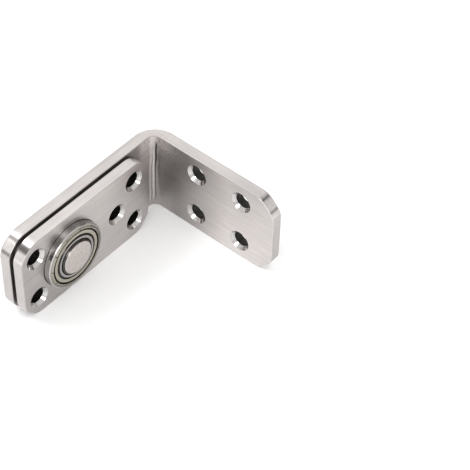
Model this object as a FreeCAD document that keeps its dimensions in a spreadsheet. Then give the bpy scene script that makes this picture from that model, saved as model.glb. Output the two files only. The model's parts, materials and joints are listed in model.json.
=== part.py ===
"""Pivot hinge: an angle bracket, a door leaf and the ball bearing between them.

The hinge stands on its long edges. The origin lies on the pivot axis, at the outer face of the
bracket's pivot leg. X runs along the pivot pin towards the front of the bearing, Y runs from the
pin towards the frame leg, Z is up, and all sizes are millimetres.
"""
import FreeCAD, Part
import math
import os
import Sketcher
from FreeCAD import Vector

# Driving dimensions
SIZES = [
    ("plate_width", 50.0, "width of both plates, and height of the standing hinge"),
    ("bracket_thickness", 6.3, "plate of the angle bracket"),
    ("pivot_leg_length", 104.0, "pivot leg, from the inner corner to its free end"),
    ("frame_leg_length", 79.0, "frame leg, from the inner corner to its free end"),
    ("bend_inner_radius", 4.5, "inside of the bend"),
    ("bend_outer_radius", 13.5, "outside of the bend, thinned by the press"),
    ("crease_radius", 1.2, "nose of the tool that left a crease inside the bend"),
    ("crease_depth", 0.3, "depth of that crease"),
    ("crease_inset", 4.0, "plain bend left at each end of the crease"),
    ("frame_corner_clip", 8.6, "legs of the clipped corners at the end of the frame leg"),
    ("pivot_corner_clip", 7.3, "legs of the clipped corners at the end of the pivot leg"),
    ("leaf_corner_clip", 7.6, "legs of the clipped corners of the leaf"),
    ("corner_blend", 9.0, "rounding where a clip meets the plate's straight sides"),
    ("edge_break", 0.4, "rounding of every sharp plate edge"),
    ("screw_hole", 8.6, "clearance hole for a screw"),
    ("countersink_depth", 1.8, "depth of the right-angled countersink for its head"),
    ("screw_row_pitch", 28.0, "between the two screw rows, across the plate"),
    ("frame_screw_first", 29.0, "inner corner to the first column of frame screws"),
    ("frame_screw_pitch", 29.0, "first to second column of frame screws"),
    ("leaf_thickness", 6.0, "plate of the door leaf"),
    ("leaf_length", 90.0, "door leaf, end to end"),
    ("leaf_short_end", 32.5, "pivot axis to the near end of the leaf"),
    ("leaf_screw_inset", 9.5, "near end of the leaf to its first screw column"),
    ("leaf_screw_pitch", 70.0, "first to last screw column of the leaf"),
    ("leaf_middle_inset", 13.0, "last column back to the single middle screw"),
    ("running_gap", 2.0, "between the bracket and the leaf"),
    ("pin_distance", 71.0, "frame leg's inner face to the pivot axis"),
    ("pin_proud", 1.0, "pin end in front of the bearing's inner ring"),
    ("pin_chamfer", 0.9, "chamfer round the pin end"),
    ("pin_shoulder", 3.0, "shoulder that the pin stands on the bracket with, at the radius"),
    ("rivet_flare", 1.5, "countersunk rivet head on the bracket's outer face"),
    ("spacer_wall", 2.4, "wall of the ring that lifts the bearing off the bracket"),
    ("spacer_clearance", 0.1, "spacer ring round the pin, at the radius"),
    ("seat_lip", 0.8, "thickness of the leaf's lip behind the bearing"),
    ("seat_lip_reach", 1.2, "reach of that lip over the bearing's outer ring"),
    ("seat_chamfer", 0.3, "chamfer round the mouth of the bearing seat"),
    ("bearing_bore", 20.0, "bearing bore and pin diameter"),
    ("bearing_outside", 37.0, "bearing outside diameter"),
    ("bearing_width", 9.0, "width of the bearing's outer ring"),
    ("inner_ring_proud", 0.5, "inner ring in front of the outer ring"),
    ("land_chamfer", 0.5, "chamfer on the outer corners of the inner ring"),
    ("outside_chamfer", 0.4, "chamfer on the outer corners of the bearing"),
    ("bore_chamfer", 0.5, "chamfer on the corners of its bore"),
    ("ring_wall", 2.8, "wall of both bearing rings beside the raceway"),
    ("mouth_step", 1.6, "outer ring's wall, thinned at its faces for the shields' rims"),
    ("mouth_undercut", 0.2, "groove that a shield's rim snaps into, deeper than that step"),
    ("mouth_lip", 0.1, "lip of the outer ring in front of that groove"),
    ("ball_diameter", 4.763, "ball"),
    ("ball_count", 12, "balls in the bearing"),
    ("ball_clearance", 0.02, "ball to each raceway, at the radius"),
    ("raceway_ratio", 0.52, "raceway radius over ball diameter"),
    ("shield_sheet", 0.3, "sheet of a shield"),
    ("shield_proud", 0.2, "flat of a shield in front of the outer ring's face"),
    ("shield_groove", 0.8, "depth of the groove pressed round that flat"),
    ("groove_run", 0.3, "run of that groove's sloping inner wall, and width of its floor"),
    ("rim_proud", 0.38, "rolled rim of a shield in front of the outer ring's face"),
    ("rim_width", 0.7, "width of the rim's crest"),
    ("rim_rounding", 0.12, "rounding of the pressed corners of a shield"),
    ("shield_clearance", 0.25, "shield to inner ring, at the radius"),
    ("rim_clearance", 0.05, "shield rim inside the outer ring, all round"),
    ("slit_count", 11, "slits that let the rim spring into the outer ring"),
    ("slit_width", 0.3, "width of a slit"),
    ("slit_turn", 11.6, "turn of the first slit from the frame leg, in degrees"),
    ("cage_sheet", 0.45, "sheet of the ball cage"),
    ("cage_side_clearance", 0.3, "cage to each ring, at the radius"),
    ("pocket_clearance", 0.08, "ball to its pocket in the cage, at the radius"),
    ("rivet_diameter", 0.9, "cage rivet shank"),
    ("rivet_head", 1.6, "cage rivet head"),
    ("rivet_head_height", 0.35, "height of a cage rivet head"),
]

doc = FreeCAD.newDocument("pivot_hinge")
sheet = doc.addObject("Spreadsheet::Sheet", "Sizes")
for row, (alias, value, meaning) in enumerate(SIZES, 1):
    sheet.set(f"A{row}", meaning)
    sheet.set(f"B{row}", str(value))
    sheet.setAlias(f"B{row}", alias)
doc.recompute()

INNER_FACE = "Sizes.bracket_thickness"
BEARING_LIFT = "(Sizes.running_gap + Sizes.seat_lip)"
BEARING_MIDDLE = f"{INNER_FACE} + {BEARING_LIFT} + Sizes.bearing_width / 2"
HALF_WIDTH = "Sizes.bearing_width / 2"
PIN_RADIUS = "Sizes.bearing_bore / 2"
SHANK_RADIUS = f"({PIN_RADIUS} - Sizes.pin_shoulder)"
INNER_LAND = "(Sizes.bearing_bore / 2 + Sizes.ring_wall)"
OUTER_LAND = "(Sizes.bearing_outside / 2 - Sizes.ring_wall)"
MOUTH = f"({OUTER_LAND} + Sizes.mouth_step)"
SHIELD_SEAT = f"({MOUTH} + Sizes.mouth_undercut)"
PITCH_RADIUS = "(Sizes.bearing_bore + Sizes.bearing_outside) / 4"
SHARP_ANGLE = math.radians(30)
ROUGH = 10.0


def size(alias):
    """Value of a driving dimension."""
    return float(sheet.get(alias))


def new_body(name, x="0", y="0", z="0"):
    """Body of one sub-part, placed by sizes."""
    body = doc.addObject("PartDesign::Body", name)
    body.Label = name
    for axis, expression in zip("xyz", (x, y, z)):
        body.setExpression(f"Placement.Base.{axis}", expression)
    return body


def origin_feature(body, role):
    """Origin plane or axis of a body."""
    return next(feature for feature in body.Origin.OriginFeatures if feature.Role == role)


def new_sketch(body, name, plane):
    """Empty sketch on one of the body's origin planes."""
    sketch = body.newObject("Sketcher::SketchObject", name)
    sketch.AttachmentSupport = [(origin_feature(body, plane), "")]
    sketch.MapMode = "FlatFace"
    return sketch


def bind_point(sketch, geometry, position, start, place):
    """Hold a sketch point at a pair of sizes measured from the sketch origin."""
    for kind, value, expression in zip(("DistanceX", "DistanceY"), start, place):
        constraint = Sketcher.Constraint(kind, -1, 1, geometry, position, value)
        label = f"{kind}_{geometry}"
        sketch.renameConstraint(sketch.addConstraint(constraint), label)
        sketch.setExpression(f"Constraints.{label}", expression)


def draw_outline(sketch, corners):
    """Closed straight-sided outline, drawn roughly and then pulled to its bound corners."""
    count = len(corners)
    turns = [2 * math.pi * i / count for i in range(count)]
    starts = [(ROUGH * (2 + math.cos(turn)), ROUGH * (2 + math.sin(turn))) for turn in turns]
    for i, start in enumerate(starts):
        end = starts[(i + 1) % count]
        sketch.addGeometry(Part.LineSegment(Vector(*start, 0), Vector(*end, 0)), False)
    for i in range(count):
        sketch.addConstraint(Sketcher.Constraint("Coincident", i, 2, (i + 1) % count, 1))
    for i, (start, place) in enumerate(zip(starts, corners)):
        bind_point(sketch, i, 1, start, place)


def draw_circles(sketch, circles):
    """Circles, drawn roughly and then pulled to their bound centres and radii."""
    for i, (across, up, radius) in enumerate(circles):
        start = (ROUGH * (2 * i + 1), ROUGH)
        sketch.addGeometry(Part.Circle(Vector(*start, 0), Vector(0, 0, 1), ROUGH / 2), False)
        bind_point(sketch, i, 3, start, (across, up))
        label = f"Radius_{i}"
        constraint = Sketcher.Constraint("Radius", i, ROUGH / 2)
        sketch.renameConstraint(sketch.addConstraint(constraint), label)
        sketch.setExpression(f"Constraints.{label}", radius)


def add(body, kind, name, profile, **bound):
    """Sketch-based feature that adds or removes material, with its sizes bound."""
    before = body.Shape.Volume if body.Tip else 0
    feature = body.newObject(f"PartDesign::{kind}", name)
    feature.Profile = profile
    if kind in ("Revolution", "Groove"):
        feature.ReferenceAxis = (profile, ["H_Axis"])
        feature.Angle = 360
    for prop, expression in bound.items():
        if prop == "Reversed":
            feature.Reversed = expression
        elif expression == "ThroughAll":
            feature.Type = expression
        else:
            feature.setExpression(prop, expression)
    doc.recompute()
    grew = feature.Shape.Volume > before
    if grew != (kind in ("Pad", "Revolution")) or feature.Shape.Volume == before:
        raise RuntimeError(f"{body.Label}: {name} goes the wrong way")
    return feature


def dress(body, kind, name, test, prop, expression):
    """Fillet or chamfer on the edges of the body's tip that pass a test."""
    base = body.Tip
    edges = [f"Edge{i}" for i, edge in enumerate(base.Shape.Edges, 1) if test(base.Shape, edge)]
    feature = body.newObject(f"PartDesign::{kind}", name)
    feature.Base = (base, edges)
    feature.setExpression(prop, expression)
    doc.recompute()
    return feature


def repeat(body, name, original, count="Sizes.ball_count"):
    """Polar pattern of one feature about the pivot axis."""
    pattern = body.newObject("PartDesign::PolarPattern", name)
    pattern.Originals = [original]
    pattern.Axis = (origin_feature(body, "X_Axis"), [""])
    pattern.Angle = 360
    pattern.setExpression("Occurrences", count)
    body.Tip = pattern
    doc.recompute()
    return pattern


def middle(edge):
    """Point halfway along an edge."""
    return edge.valueAt((edge.FirstParameter + edge.LastParameter) / 2)


def is_sharp(shape, edge):
    """True where the two faces beside an edge meet at an angle."""
    point = middle(edge)
    normals = []
    for face in shape.ancestorsOfType(edge, Part.Face):
        normals.append(face.normalAt(*face.Surface.parameter(point)))
    return len(normals) == 2 and normals[0].getAngle(normals[1]) > SHARP_ANGLE


def is_straight_along(edge, axis):
    """True for a straight edge that runs along an axis."""
    if not isinstance(edge.Curve, Part.Line):
        return False
    return abs(edge.Curve.Direction.dot(axis)) > 0.999


def is_circle(edge, radius, across=None):
    """True for a circular edge of a given radius, in a given plane along X where one is named."""
    if not isinstance(edge.Curve, Part.Circle) or abs(edge.Curve.Radius - radius) > 1e-4:
        return False
    return across is None or abs(edge.Curve.Center.x - across) < 1e-4


def clip_corners(body, name, through, clip, near):
    """Corners of a plate clipped at 45 degrees, and each clip blended into the straight sides."""
    def corner(shape, edge):
        return is_straight_along(edge, through) and near(middle(edge)) and is_sharp(shape, edge)
    dress(body, "Chamfer", f"{name}_clips", corner, "Size", clip)
    dress(body, "Fillet", f"{name}_blends", corner, "Radius", "Sizes.corner_blend")


# Angle bracket: one plate, bent to an L, with the corners of its two free ends clipped
frame_bracket = new_body("frame_bracket", INNER_FACE, "Sizes.pin_distance",
                         "-Sizes.plate_width / 2")
bracket_outline = new_sketch(frame_bracket, "bracket_outline", "XY_Plane")
draw_outline(bracket_outline, [
    ("0", "-Sizes.pivot_leg_length"),
    ("0", "0"),
    ("Sizes.frame_leg_length", "0"),
    ("Sizes.frame_leg_length", "Sizes.bracket_thickness"),
    ("-Sizes.bracket_thickness", "Sizes.bracket_thickness"),
    ("-Sizes.bracket_thickness", "-Sizes.pivot_leg_length"),
])
add(frame_bracket, "Pad", "bracket_plate", bracket_outline, Length="Sizes.plate_width")


def at_corner(x, y):
    """Test for the upright edge at one corner of the bend."""
    corner = Vector(x, y, 0)

    def test(shape, edge):
        point = middle(edge)
        return is_straight_along(edge, Vector(0, 0, 1)) and math.hypot(
            point.x - corner.x, point.y - corner.y) < 1e-4
    return test


thickness = size("bracket_thickness")
dress(frame_bracket, "Fillet", "bend_inside", at_corner(0, 0), "Radius", "Sizes.bend_inner_radius")
dress(frame_bracket, "Fillet", "bend_outside", at_corner(-thickness, thickness), "Radius",
      "Sizes.bend_outer_radius")
clip_corners(frame_bracket, "pivot_leg", Vector(1, 0, 0), "Sizes.pivot_corner_clip",
             lambda point: point.y < -size("pivot_leg_length") / 2)
clip_corners(frame_bracket, "frame_leg", Vector(0, 1, 0), "Sizes.frame_corner_clip",
             lambda point: point.x > size("frame_leg_length") / 2)
dress(frame_bracket, "Fillet", "bracket_edges", is_sharp, "Radius", "Sizes.edge_break")

# Crease: the press tool's nose, sunk below the apex of the bend's inner face
crease_place = "(Sizes.bend_inner_radius - (Sizes.bend_inner_radius + Sizes.crease_depth" \
               " - Sizes.crease_radius) * sqrt(0.5))"
crease_outline = new_sketch(frame_bracket, "crease_outline", "XY_Plane")
draw_circles(crease_outline, [(crease_place, f"-{crease_place}", "Sizes.crease_radius")])
crease_outline.setExpression("AttachmentOffset.Base.z", "Sizes.crease_inset")
add(frame_bracket, "Pocket", "crease", crease_outline, Reversed=True,
    Length="Sizes.plate_width - 2 * Sizes.crease_inset")

SCREW_RADIUS = "Sizes.screw_hole / 2"
frame_columns = ["Sizes.frame_screw_first", "Sizes.frame_screw_first + Sizes.frame_screw_pitch"]
screw_rows = [f"Sizes.plate_width / 2 {sign} Sizes.screw_row_pitch / 2" for sign in "-+"]
frame_holes = new_sketch(frame_bracket, "frame_screw_outline", "XZ_Plane")
draw_circles(frame_holes, [(x, z, SCREW_RADIUS) for x in frame_columns for z in screw_rows])
add(frame_bracket, "Pocket", "frame_screw_holes", frame_holes, Type="ThroughAll")
dress(frame_bracket, "Chamfer", "frame_countersinks",
      lambda shape, edge: is_circle(edge, size("screw_hole") / 2) and abs(middle(edge).y) < 1e-4,
      "Size", "Sizes.countersink_depth")

pin_hole = new_sketch(frame_bracket, "pin_hole_outline", "YZ_Plane")
draw_circles(pin_hole, [("-Sizes.pin_distance", "Sizes.plate_width / 2", SHANK_RADIUS)])
add(frame_bracket, "Pocket", "pin_hole", pin_hole, Type="ThroughAll")
shank_radius = size("bearing_bore") / 2 - size("pin_shoulder")
dress(frame_bracket, "Chamfer", "rivet_countersink",
      lambda shape, edge: is_circle(edge, shank_radius, -thickness),
      "Size", "Sizes.rivet_flare")

# Door leaf: a flat plate with a lipped seat for the bearing and five countersunk holes
door_leaf = new_body("door_leaf", f"{INNER_FACE} + Sizes.running_gap")
leaf_far_end = "(Sizes.leaf_length - Sizes.leaf_short_end)"
leaf_outline = new_sketch(door_leaf, "leaf_outline", "YZ_Plane")
draw_outline(leaf_outline, [
    ("-Sizes.leaf_short_end", "-Sizes.plate_width / 2"),
    (leaf_far_end, "-Sizes.plate_width / 2"),
    (leaf_far_end, "Sizes.plate_width / 2"),
    ("-Sizes.leaf_short_end", "Sizes.plate_width / 2"),
])
add(door_leaf, "Pad", "leaf_plate", leaf_outline, Length="Sizes.leaf_thickness")
clip_corners(door_leaf, "leaf", Vector(1, 0, 0), "Sizes.leaf_corner_clip", lambda point: True)
dress(door_leaf, "Fillet", "leaf_edges", is_sharp, "Radius", "Sizes.edge_break")

lip_radius = "(Sizes.bearing_outside / 2 - Sizes.seat_lip_reach)"
seat_outline = new_sketch(door_leaf, "seat_outline", "XY_Plane")
draw_outline(seat_outline, [
    ("-Sizes.seat_chamfer", "0"),
    ("-Sizes.seat_chamfer", lip_radius),
    ("Sizes.seat_lip", lip_radius),
    ("Sizes.seat_lip", "Sizes.bearing_outside / 2"),
    ("Sizes.leaf_thickness - Sizes.seat_chamfer", "Sizes.bearing_outside / 2"),
    ("Sizes.leaf_thickness", "Sizes.bearing_outside / 2 + Sizes.seat_chamfer"),
    ("Sizes.leaf_thickness + Sizes.seat_chamfer", "Sizes.bearing_outside / 2 + Sizes.seat_chamfer"),
    ("Sizes.leaf_thickness + Sizes.seat_chamfer", "0"),
])
add(door_leaf, "Groove", "bearing_seat", seat_outline)

first_column = "(Sizes.leaf_screw_inset - Sizes.leaf_short_end)"
last_column = f"({first_column} + Sizes.leaf_screw_pitch)"
leaf_rows = [f"{sign}Sizes.screw_row_pitch / 2" for sign in "-+"]
leaf_places = [(y, z) for y in (first_column, last_column) for z in leaf_rows]
leaf_places.append((f"{last_column} - Sizes.leaf_middle_inset", "0"))
leaf_holes = new_sketch(door_leaf, "leaf_screw_outline", "YZ_Plane")
draw_circles(leaf_holes, [(y, z, SCREW_RADIUS) for y, z in leaf_places])
add(door_leaf, "Pocket", "leaf_screw_holes", leaf_holes, Type="ThroughAll", Reversed=True)
dress(door_leaf, "Chamfer", "leaf_countersinks",
      lambda shape, edge: is_circle(edge, size("screw_hole") / 2, size("leaf_thickness")),
      "Size", "Sizes.countersink_depth")

# Pivot pin: turned, shouldered on the bracket and riveted flush through it
pivot_pin = new_body("pivot_pin", INNER_FACE)
pin_front = f"({BEARING_LIFT} + Sizes.bearing_width + Sizes.inner_ring_proud + Sizes.pin_proud)"
pin_outline = new_sketch(pivot_pin, "pin_outline", "XY_Plane")
draw_outline(pin_outline, [
    ("-Sizes.bracket_thickness", "0"),
    ("-Sizes.bracket_thickness", f"{SHANK_RADIUS} + Sizes.rivet_flare"),
    ("-Sizes.bracket_thickness + Sizes.rivet_flare", SHANK_RADIUS),
    ("0", SHANK_RADIUS),
    ("0", PIN_RADIUS),
    (f"{pin_front} - Sizes.pin_chamfer", PIN_RADIUS),
    (pin_front, f"{PIN_RADIUS} - Sizes.pin_chamfer"),
    (pin_front, "0"),
])
add(pivot_pin, "Revolution", "pin_turned", pin_outline)

# Spacer ring: keeps the bearing's inner ring off the bracket
spacer_ring = new_body("spacer_ring", INNER_FACE)
spacer_outline = new_sketch(spacer_ring, "spacer_outline", "YZ_Plane")
spacer_bore = f"{PIN_RADIUS} + Sizes.spacer_clearance"
draw_circles(spacer_outline, [
    ("0", "0", f"{spacer_bore} + Sizes.spacer_wall"),
    ("0", "0", spacer_bore),
])
add(spacer_ring, "Pad", "spacer_plate", spacer_outline, Length=BEARING_LIFT)

# Bearing rings: turned rings with a ground raceway, centred on the bearing's middle plane
RACEWAY_RADIUS = "(Sizes.ball_diameter * Sizes.raceway_ratio)"
BALL_REACH = "(Sizes.ball_diameter / 2 + Sizes.ball_clearance)"


def raceway(body, centre):
    """Groove of round section that the balls run in."""
    outline = new_sketch(body, "raceway_outline", "XY_Plane")
    draw_circles(outline, [("0", centre, RACEWAY_RADIUS)])
    add(body, "Groove", "raceway", outline)


bearing_inner_ring = new_body("bearing_inner_ring", BEARING_MIDDLE)
inner_outline = new_sketch(bearing_inner_ring, "inner_ring_outline", "XY_Plane")
inner_front = f"({HALF_WIDTH} + Sizes.inner_ring_proud)"
draw_outline(inner_outline, [
    (f"-{HALF_WIDTH}", PIN_RADIUS),
    (inner_front, PIN_RADIUS),
    (inner_front, f"{INNER_LAND} - Sizes.land_chamfer"),
    (f"{inner_front} - Sizes.land_chamfer", INNER_LAND),
    (f"-{HALF_WIDTH} + Sizes.land_chamfer", INNER_LAND),
    (f"-{HALF_WIDTH}", f"{INNER_LAND} - Sizes.land_chamfer"),
])
add(bearing_inner_ring, "Revolution", "inner_ring_turned", inner_outline)
dress(bearing_inner_ring, "Chamfer", "bore_chamfers",
      lambda shape, edge: is_circle(edge, size("bearing_bore") / 2), "Size", "Sizes.bore_chamfer")
raceway(bearing_inner_ring, f"{PITCH_RADIUS} - {BALL_REACH} + {RACEWAY_RADIUS}")

bearing_outer_ring = new_body("bearing_outer_ring", BEARING_MIDDLE)
GROOVE_BOTTOM = f"({HALF_WIDTH} + Sizes.shield_proud - Sizes.shield_groove)"
mouth_floor = f"({GROOVE_BOTTOM} - Sizes.shield_sheet - Sizes.rim_clearance)"
lip_back = f"({HALF_WIDTH} - Sizes.mouth_lip)"
half_profile = [
    (mouth_floor, OUTER_LAND),
    (mouth_floor, SHIELD_SEAT),
    (lip_back, SHIELD_SEAT),
    (lip_back, MOUTH),
    (HALF_WIDTH, MOUTH),
    (HALF_WIDTH, "Sizes.bearing_outside / 2"),
]
outer_outline = new_sketch(bearing_outer_ring, "outer_ring_outline", "XY_Plane")
draw_outline(outer_outline, half_profile + [(f"-{x}", r) for x, r in reversed(half_profile)])
add(bearing_outer_ring, "Revolution", "outer_ring_turned", outer_outline)
dress(bearing_outer_ring, "Chamfer", "outside_chamfers",
      lambda shape, edge: is_circle(edge, size("bearing_outside") / 2),
      "Size", "Sizes.outside_chamfer")
raceway(bearing_outer_ring, f"{PITCH_RADIUS} + {BALL_REACH} - {RACEWAY_RADIUS}")


# Shields: pressed sheet rings. Round the flat runs a groove, and outside it a rolled rim, slit
# into tabs that spring behind the outer ring's lip
def make_shield(name, side):
    """Shield on the front (side 1) or the back (side -1) of the bearing."""
    shield = new_body(name, BEARING_MIDDLE)
    shield.Placement.Rotation = FreeCAD.Rotation(Vector(1, 0, 0), size("slit_turn"))
    sheet_metal = "Sizes.shield_sheet"
    bore = f"{INNER_LAND} + Sizes.shield_clearance"
    slope_end = f"({OUTER_LAND} - Sizes.groove_run)"
    slope_start = f"({slope_end} - Sizes.groove_run)"
    slope_shift = f"{sheet_metal} * tan(atan(Sizes.shield_groove / Sizes.groove_run) / 2)"
    crest_start = f"({OUTER_LAND} + {sheet_metal} / 2)"
    crest_end = f"{crest_start} + Sizes.rim_width"
    foot_start = f"{MOUTH} - Sizes.rim_clearance"
    rim = f"{SHIELD_SEAT} - Sizes.rim_clearance"
    flat = f"({HALF_WIDTH} + Sizes.shield_proud)"
    crest = f"({HALF_WIDTH} + Sizes.rim_proud)"
    rim_front = f"({HALF_WIDTH} - Sizes.mouth_lip - Sizes.rim_clearance)"
    outline = new_sketch(shield, f"{name}_outline", "XY_Plane")
    draw_outline(outline, [(f"{side} * {level}", radius) for level, radius in (
        (flat, bore),
        (flat, slope_start),
        (GROOVE_BOTTOM, slope_end),
        (GROOVE_BOTTOM, OUTER_LAND),
        (crest, crest_start),
        (crest, crest_end),
        (rim_front, foot_start),
        (rim_front, rim),
        (f"({rim_front} - {sheet_metal})", rim),
        (f"({rim_front} - {sheet_metal})", foot_start),
        (f"({crest} - {sheet_metal})", crest_end),
        (f"({crest} - {sheet_metal})", f"{crest_start} + {sheet_metal}"),
        (f"({GROOVE_BOTTOM} - {sheet_metal})", f"{OUTER_LAND} + {sheet_metal}"),
        (f"({GROOVE_BOTTOM} - {sheet_metal})", f"{slope_end} - {slope_shift}"),
        (f"({flat} - {sheet_metal})", f"{slope_start} - {slope_shift}"),
        (f"({flat} - {sheet_metal})", bore),
    )])
    add(shield, "Revolution", f"{name}_pressed", outline)
    outer_side = size("bearing_width") / 2 + size("shield_proud") / 2
    dress(shield, "Fillet", f"{name}_rounded",
          lambda shape, edge: isinstance(edge.Curve, Part.Circle)
          and side * edge.Curve.Center.x > outer_side,
          "Radius", "Sizes.rim_rounding")
    slit = new_sketch(shield, f"{name}_slit_outline", "YZ_Plane")
    draw_outline(slit, [
        (OUTER_LAND, "-Sizes.slit_width / 2"),
        ("Sizes.bearing_outside / 2", "-Sizes.slit_width / 2"),
        ("Sizes.bearing_outside / 2", "Sizes.slit_width / 2"),
        (OUTER_LAND, "Sizes.slit_width / 2"),
    ])
    slit_cut = add(shield, "Pocket", f"{name}_slit", slit, Type="ThroughAll", Reversed=side > 0)
    repeat(shield, f"{name}_slits", slit_cut, "Sizes.slit_count")
    return shield


bearing_shield_front = make_shield("bearing_shield_front", 1)
bearing_shield_rear = make_shield("bearing_shield_rear", -1)

# Balls: one loose ball in each pocket of the cage
ball_count = round(size("ball_count"))
balls = []
for number in range(ball_count):
    ball = doc.addObject("Part::Sphere", f"ball_{number + 1:02d}")
    ball.Label = f"ball_{number + 1:02d}"
    turn = f"{number} * 360 / Sizes.ball_count"
    ball.setExpression("Radius", "Sizes.ball_diameter / 2")
    ball.setExpression("Placement.Base.x", BEARING_MIDDLE)
    ball.setExpression("Placement.Base.y", f"{PITCH_RADIUS} * cos({turn})")
    ball.setExpression("Placement.Base.z", f"{PITCH_RADIUS} * sin({turn})")
    balls.append(ball)

# Ball cage: two pressed rings with a half-round pocket over each ball, riveted face to face
POCKET_RADIUS = "(Sizes.ball_diameter / 2 + Sizes.pocket_clearance)"
CAGE_INSIDE = f"{INNER_LAND} + Sizes.cage_side_clearance"
CAGE_OUTSIDE = f"{OUTER_LAND} - Sizes.cage_side_clearance"


def pocket_sphere(body, kind, name, radius):
    """Sphere round the first ball, added to the cage or cut from it, and repeated for each ball."""
    sphere = body.newObject(f"PartDesign::{kind}", name)
    sphere.setExpression("Radius", radius)
    sphere.setExpression("Placement.Base.y", PITCH_RADIUS)
    doc.recompute()
    repeat(body, f"{name}_pattern", sphere)


def make_cage_half(name, turned):
    """Half of the cage, in front of the middle plane, or turned about Y to lie behind it."""
    cage = new_body(name, BEARING_MIDDLE)
    cage.Placement.Rotation = FreeCAD.Rotation(Vector(0, 1, 0), turned)
    strip = new_sketch(cage, f"{name}_strip_outline", "YZ_Plane")
    draw_circles(strip, [("0", "0", CAGE_OUTSIDE), ("0", "0", CAGE_INSIDE)])
    add(cage, "Pad", f"{name}_strip", strip, Length="Sizes.cage_sheet")
    pocket_sphere(cage, "AdditiveSphere", f"{name}_domes", f"{POCKET_RADIUS} + Sizes.cage_sheet")

    behind = new_sketch(cage, f"{name}_behind_outline", "YZ_Plane")
    draw_circles(behind, [("0", "0", "Sizes.bearing_outside / 2")])
    add(cage, "Pocket", f"{name}_behind", behind, Type="ThroughAll")
    beside = new_sketch(cage, f"{name}_beside_outline", "YZ_Plane")
    draw_circles(beside, [
        ("0", "0", "Sizes.bearing_outside / 2"),
        ("0", "0", CAGE_OUTSIDE),
        ("0", "0", CAGE_INSIDE),
    ])
    add(cage, "Pocket", f"{name}_beside", beside, Type="ThroughAll", Reversed=True)
    pocket_sphere(cage, "SubtractiveSphere", f"{name}_pockets", POCKET_RADIUS)

    hole = new_sketch(cage, f"{name}_hole_outline", "YZ_Plane")
    draw_circles(hole, [(
        f"{PITCH_RADIUS} * cos(180 / Sizes.ball_count)",
        f"{PITCH_RADIUS} * sin(180 / Sizes.ball_count)",
        "Sizes.rivet_diameter / 2",
    )])
    hole_cut = add(cage, "Pocket", f"{name}_hole", hole, Type="ThroughAll", Reversed=True)
    repeat(cage, f"{name}_holes", hole_cut)
    return cage


cage_half_front = make_cage_half("cage_half_front", 0)
cage_half_rear = make_cage_half("cage_half_rear", 180)


# Cage rivets: one between each two balls, with a flat head on both sides
def rivet_cylinder(name, turn, diameter, start, length):
    """Cylinder along X, between two balls."""
    cylinder = doc.addObject("Part::Cylinder", name)
    cylinder.setExpression("Radius", f"{diameter} / 2")
    cylinder.setExpression("Height", length)
    cylinder.Placement.Rotation = FreeCAD.Rotation(Vector(0, 1, 0), 90)
    cylinder.setExpression("Placement.Base.x", f"{BEARING_MIDDLE} + {start}")
    cylinder.setExpression("Placement.Base.y", f"{PITCH_RADIUS} * cos({turn})")
    cylinder.setExpression("Placement.Base.z", f"{PITCH_RADIUS} * sin({turn})")
    return cylinder


rivets = []
for number in range(ball_count):
    turn = f"({number} + 0.5) * 360 / Sizes.ball_count"
    head_start = ("Sizes.cage_sheet", "(-Sizes.cage_sheet - Sizes.rivet_head_height)")
    pieces = [rivet_cylinder(f"rivet_shank_{number}", turn, "Sizes.rivet_diameter",
                             "(-Sizes.cage_sheet)", "2 * Sizes.cage_sheet")]
    for side, start in enumerate(head_start):
        pieces.append(rivet_cylinder(f"rivet_head_{number}_{side}", turn, "Sizes.rivet_head",
                                     start, "Sizes.rivet_head_height"))
    rivet = doc.addObject("Part::MultiFuse", f"rivet_{number}")
    rivet.Shapes = pieces
    rivets.append(rivet)
cage_rivets = doc.addObject("Part::Compound", "cage_rivets")
cage_rivets.Label = "cage_rivets"
cage_rivets.Links = rivets

doc.recompute()
parts = [frame_bracket, door_leaf, pivot_pin, spacer_ring, bearing_inner_ring, bearing_outer_ring,
         bearing_shield_front, bearing_shield_rear, cage_half_front, cage_half_rear, cage_rivets]
parts += balls

for item in doc.Objects:
    if "Invalid" in item.State or "Error" in item.State:
        raise RuntimeError(f"{item.Label} failed to build: {item.State}")
for part in parts:
    if part.Shape.isNull() or not part.Shape.isValid():
        raise RuntimeError(f"{part.Label} has no valid shape")

os.makedirs("parts", exist_ok=True)
for part in parts:
    part.Shape.exportStep(f"parts/{part.Label}.step")
    box = part.Shape.BoundBox
    print(f"{part.Label}: {len(part.Shape.Solids)} solid, {part.Shape.Volume:.1f} mm3, "
          f"{box.XLength:.2f} x {box.YLength:.2f} x {box.ZLength:.2f}")
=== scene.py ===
import json
import math

import bmesh
import bpy
from mathutils import Matrix, Vector


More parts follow.
